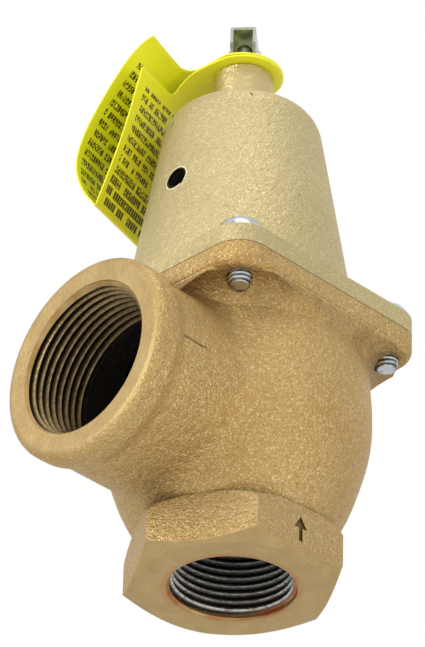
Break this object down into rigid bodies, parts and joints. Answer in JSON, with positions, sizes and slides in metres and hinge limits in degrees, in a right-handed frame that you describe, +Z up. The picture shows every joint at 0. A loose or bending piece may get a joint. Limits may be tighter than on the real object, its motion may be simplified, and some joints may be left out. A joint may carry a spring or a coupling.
{
  "type": "pressure relief valve",
  "caption": "Angle-pattern bronze safety relief valve: threaded inlet below, larger threaded side outlet, spring bonnet, test lever and folded tag.",
  "frame": {"origin": "centre of the inlet face, on the axis of the inlet thread and the stem", "axes": "+Z up the stem towards the lever, +X out of the outlet port, +Y completes the right-handed frame"},
  "size_m": [0.0955, 0.0781, 0.1701],
  "materials": {
    "bronze_body": "sand-cast bronze, coarse, unpolished",
    "bronze_bonnet": "blasted cast bronze, fine grain, pale",
    "zinc_screws": "bright zinc plate",
    "rubber": "matt moulded rubber",
    "spring_steel": "drawn spring wire, dull plate",
    "brass_trim": "turned brass",
    "stem_steel": "turned stainless steel",
    "plated_lever": "pressed steel, bright plate",
    "tag_card": "flexible yellow plastic sheet with grey printed rules"
  },
  "bodies": {
    "valve": {"body": "bronze_body", "bonnet": "bronze_bonnet", "bonnet_screws": "zinc_screws", "diaphragm": "rubber", "spring": "spring_steel", "upper_spring_button": "brass_trim", "adjusting_screw": "brass_trim"},
    "stem_assembly": {"stem": "stem_steel", "disc_guide": "brass_trim", "disc_screw": "stem_steel", "seat_disc": "rubber", "disc_holder": "brass_trim", "lower_diaphragm_plate": "brass_trim", "upper_diaphragm_plate": "brass_trim", "diaphragm_nut": "stem_steel", "lower_spring_button": "brass_trim", "lever_pin": "stem_steel"},
    "lever": {"lever": "plated_lever"},
    "tag": {"instruction_tag": "tag_card"}
  },
  "joints": [
    {"name": "stem_lift", "type": "slide", "parent": "valve", "child": "stem_assembly", "axis": [0, 0, 1], "range_m": [0, 0.00288], "stiffness_N_per_m": 2000, "springref_m": -0.002, "deforming": ["spring", "diaphragm"]},
    {"name": "lever_lift", "type": "hinge", "parent": "stem_assembly", "child": "lever", "pos_m": [0, 0, 0.1637], "axis": [-0.6428, 0.766, 0], "range_deg": [0, 75]},
    {"name": "tag_swing", "type": "hinge", "parent": "valve", "child": "tag", "pos_m": [0, 0, 0.1575], "axis": [0, 0, 1], "range_deg": [-40, 100]}
  ],
  "couplings": [
    {"joint": "lever_lift", "follows": "stem_lift", "rad_per_m": 454.55}
  ]
}
